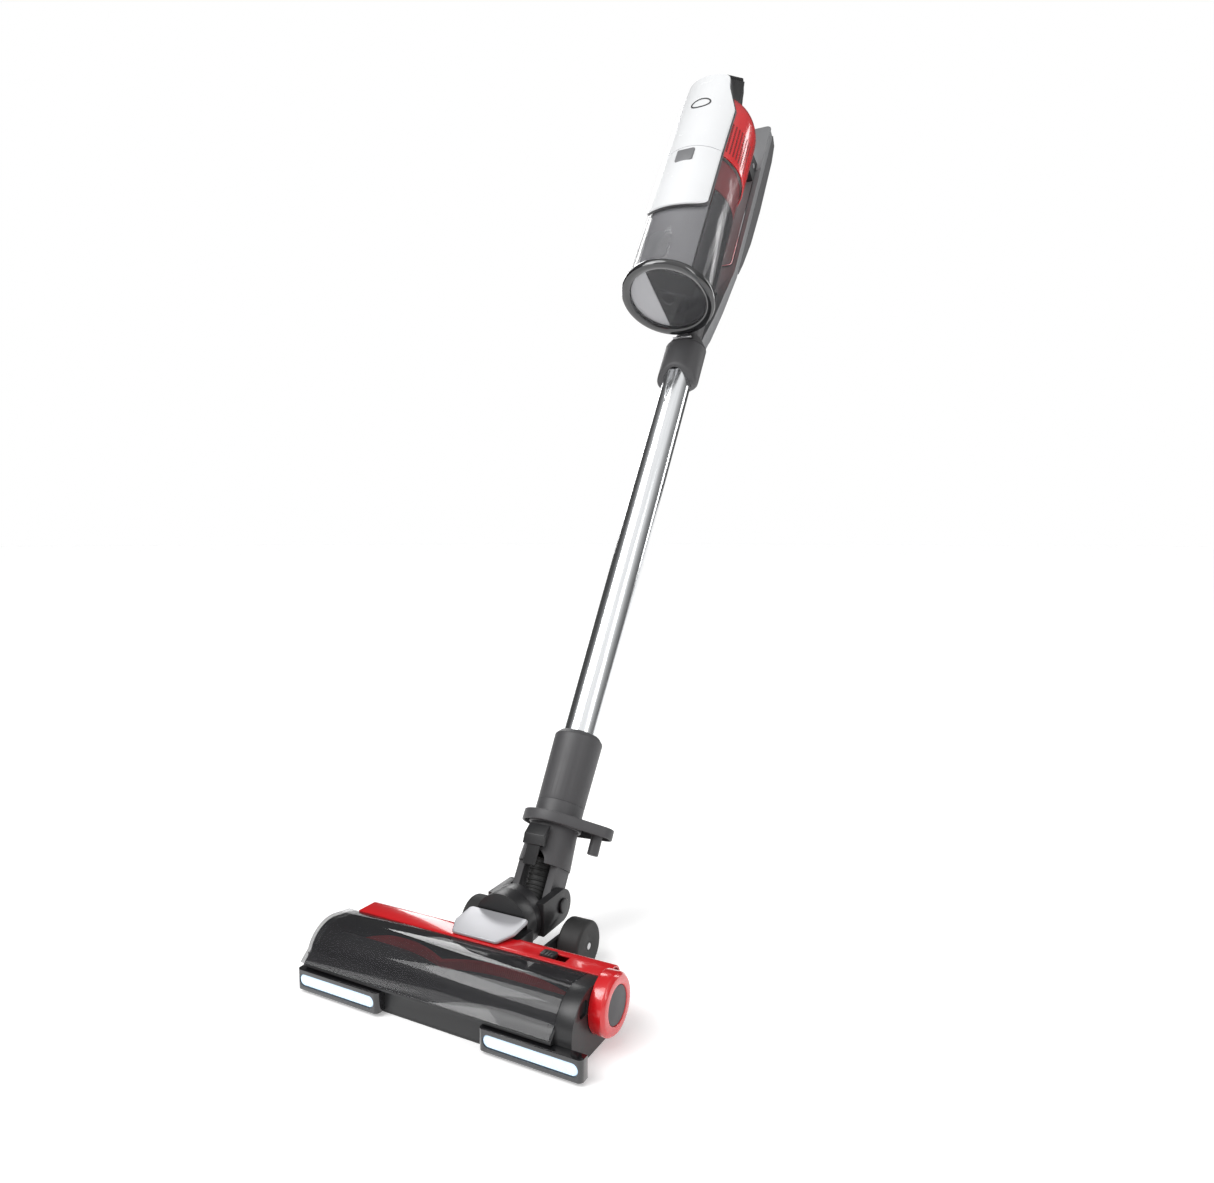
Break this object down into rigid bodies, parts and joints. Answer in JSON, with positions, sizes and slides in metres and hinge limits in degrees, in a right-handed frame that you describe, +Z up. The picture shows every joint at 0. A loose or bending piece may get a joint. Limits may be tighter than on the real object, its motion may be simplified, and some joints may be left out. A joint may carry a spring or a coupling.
{
  "type": "upright vacuum cleaner",
  "caption": "Cordless stick vacuum with a lit, motorised floor head, swivelling neck, metal wand and a hand unit with a clear drop-door dust bin and rear loop handle.",
  "frame": {"origin": "on the floor under the middle of the bounding box", "axes": "+Z up, -Y the front of the floor head, +X to the right as seen from the front; the wand leans back 32 degrees"},
  "size_m": [0.28, 0.8167, 1.0221],
  "materials": {
    "red_gloss": "glossy",
    "silver_gloss": "glossy",
    "dark_grey": "satin",
    "black_plastic": "satin",
    "gloss_black": "glossy",
    "mid_grey": "satin",
    "polished_tube": "polished",
    "smoked_window": "glossy",
    "clear_bin": "glossy",
    "light_lens": "glowing white",
    "steel": "satin",
    "rubber_black": "matte",
    "filter_fibre": "matte",
    "red_bristle": "matte",
    "black_bristle": "matte",
    "emblem_dark": "glossy",
    "chrome_trim": "polished"
  },
  "bodies": {
    "hand_unit": {"motor_housing": "red_gloss", "upper_cover": "silver_gloss", "cover_emblem": "emblem_dark", "control_panel": "gloss_black", "handle_bridge": "black_plastic", "handle_bar": "mid_grey", "grip_inlay": "mid_grey", "inlet_duct": "dark_grey", "charge_socket": "black_plastic", "fan_motor": "steel", "exhaust_filter": "filter_fibre", "housing_screws": "steel"},
    "fan_rotor": {"impeller": "black_plastic", "motor_shaft": "steel"},
    "power_button": {"power_button": "mid_grey"},
    "mode_button": {"mode_button": "mid_grey"},
    "battery": {"battery_pack": "dark_grey"},
    "battery_latch": {"battery_latch": "black_plastic"},
    "dust_bin": {"bin_shell": "clear_bin", "lower_cover": "silver_gloss", "bin_liner": "gloss_black", "cyclone_shroud": "mid_grey", "cyclone_cone": "black_plastic", "pre_filter": "red_gloss", "door_hinge_pin": "steel"},
    "bin_release_button": {"bin_release_button": "chrome_trim"},
    "bin_door": {"door_ring": "gloss_black", "door_pane": "clear_bin", "door_seal": "rubber_black"},
    "door_latch": {"door_latch": "clear_bin"},
    "wand": {"upper_sleeve": "dark_grey", "wand_tube": "polished_tube", "lower_collar": "dark_grey"},
    "wand_latch": {"wand_latch": "mid_grey"},
    "neck": {"neck_tube": "dark_grey", "accessory_ring": "dark_grey", "flexible_hose": "rubber_black"},
    "head_latch": {"head_latch": "black_plastic"},
    "knuckle": {"knuckle_body": "black_plastic", "neck_hinge_pins": "black_plastic"},
    "floor_head": {"base_housing": "black_plastic", "sole_plate": "black_plastic", "brush_window": "smoked_window", "motor_cover": "red_gloss", "badge_plate": "silver_gloss", "drive_cover": "red_gloss", "drive_cover_inlay": "dark_grey", "light_housings": "gloss_black", "light_lenses": "light_lens", "brush_motor": "steel", "drive_belt": "rubber_black", "wheel_axles": "steel", "head_screws": "steel"},
    "brush_roll": {"brush_core": "black_plastic", "red_bristles": "red_bristle", "black_bristles": "black_bristle"},
    "motor_pulley": {"motor_pulley": "steel"},
    "right_wheel": {"right_wheel": "rubber_black"},
    "left_wheel": {"left_wheel": "rubber_black"},
    "window_latch": {"window_latch": "black_plastic"}
  },
  "joints": [
    {"name": "wand_pull", "type": "slide", "parent": "hand_unit", "child": "wand", "axis": [0, -0.5299, -0.848], "range_m": [0, 0.06]},
    {"name": "neck_pull", "type": "slide", "parent": "wand", "child": "neck", "axis": [0, -0.5299, -0.848], "range_m": [0, 0.04]},
    {"name": "neck_pitch", "type": "hinge", "parent": "neck", "child": "knuckle", "pos_m": [0, -0.2494, 0.048], "axis": [1, 0, 0], "range_deg": [-32, 50], "deforming": ["flexible_hose"]},
    {"name": "head_roll", "type": "hinge", "parent": "knuckle", "child": "floor_head", "pos_m": [0, -0.2899, 0.046], "axis": [0, 1, 0], "range_deg": [-40, 40]},
    {"name": "brush_spin", "type": "hinge", "parent": "floor_head", "child": "brush_roll", "pos_m": [0, -0.3704, 0.024], "axis": [1, 0, 0], "continuous": true},
    {"name": "brush_motor_spin", "type": "hinge", "parent": "floor_head", "child": "motor_pulley", "pos_m": [0, -0.3349, 0.034], "axis": [1, 0, 0], "continuous": true},
    {"name": "right_wheel_spin", "type": "hinge", "parent": "floor_head", "child": "right_wheel", "pos_m": [0.053, -0.2604, 0.022], "axis": [1, 0, 0], "continuous": true},
    {"name": "left_wheel_spin", "type": "hinge", "parent": "floor_head", "child": "left_wheel", "pos_m": [-0.053, -0.2604, 0.022], "axis": [1, 0, 0], "continuous": true},
    {"name": "window_latch_slide", "type": "slide", "parent": "floor_head", "child": "window_latch", "axis": [1, 0, 0], "range_m": [0, 0.009], "stiffness_N_per_m": 120},
    {"name": "head_latch_press", "type": "slide", "parent": "neck", "child": "head_latch", "axis": [0, 0.848, -0.5299], "range_m": [0, 0.002], "stiffness_N_per_m": 400},
    {"name": "wand_latch_press", "type": "slide", "parent": "wand", "child": "wand_latch", "axis": [0, -0.848, 0.5299], "range_m": [0, 0.002], "stiffness_N_per_m": 400},
    {"name": "bin_pull", "type": "slide", "parent": "hand_unit", "child": "dust_bin", "axis": [0, -0.848, 0.5299], "range_m": [0, 0.05]},
    {"name": "bin_release_press", "type": "slide", "parent": "dust_bin", "child": "bin_release_button", "axis": [0, 0.848, -0.5299], "range_m": [0, 0.0012], "stiffness_N_per_m": 400},
    {"name": "bin_door_swing", "type": "hinge", "parent": "dust_bin", "child": "bin_door", "pos_m": [0, 0.09674, 0.63591], "axis": [1, 0, 0], "range_deg": [0, 90]},
    {"name": "door_latch_slide", "type": "slide", "parent": "dust_bin", "child": "door_latch", "axis": [0, 0.5299, 0.848], "range_m": [0, 0.004], "stiffness_N_per_m": 400},
    {"name": "battery_pull", "type": "slide", "parent": "hand_unit", "child": "battery", "axis": [0, 0.848, -0.5299], "range_m": [0, 0.03]},
    {"name": "battery_latch_slide", "type": "slide", "parent": "battery", "child": "battery_latch", "axis": [0, 0.5299, 0.848], "range_m": [0, 0.003], "stiffness_N_per_m": 400},
    {"name": "power_button_press", "type": "slide", "parent": "hand_unit", "child": "power_button", "axis": [0, 0.3506, -0.9365], "range_m": [0, 0.0012], "stiffness_N_per_m": 400},
    {"name": "mode_button_press", "type": "slide", "parent": "hand_unit", "child": "mode_button", "axis": [0, 0.3506, -0.9365], "range_m": [0, 0.0012], "stiffness_N_per_m": 400},
    {"name": "fan_spin", "type": "hinge", "parent": "hand_unit", "child": "fan_rotor", "pos_m": [0, 0.18404, 0.88205], "axis": [0, 0.5299, 0.848], "continuous": true}
  ],
  "couplings": [
    {"joint": "brush_motor_spin", "follows": "brush_spin", "ratio": 2}
  ]
}
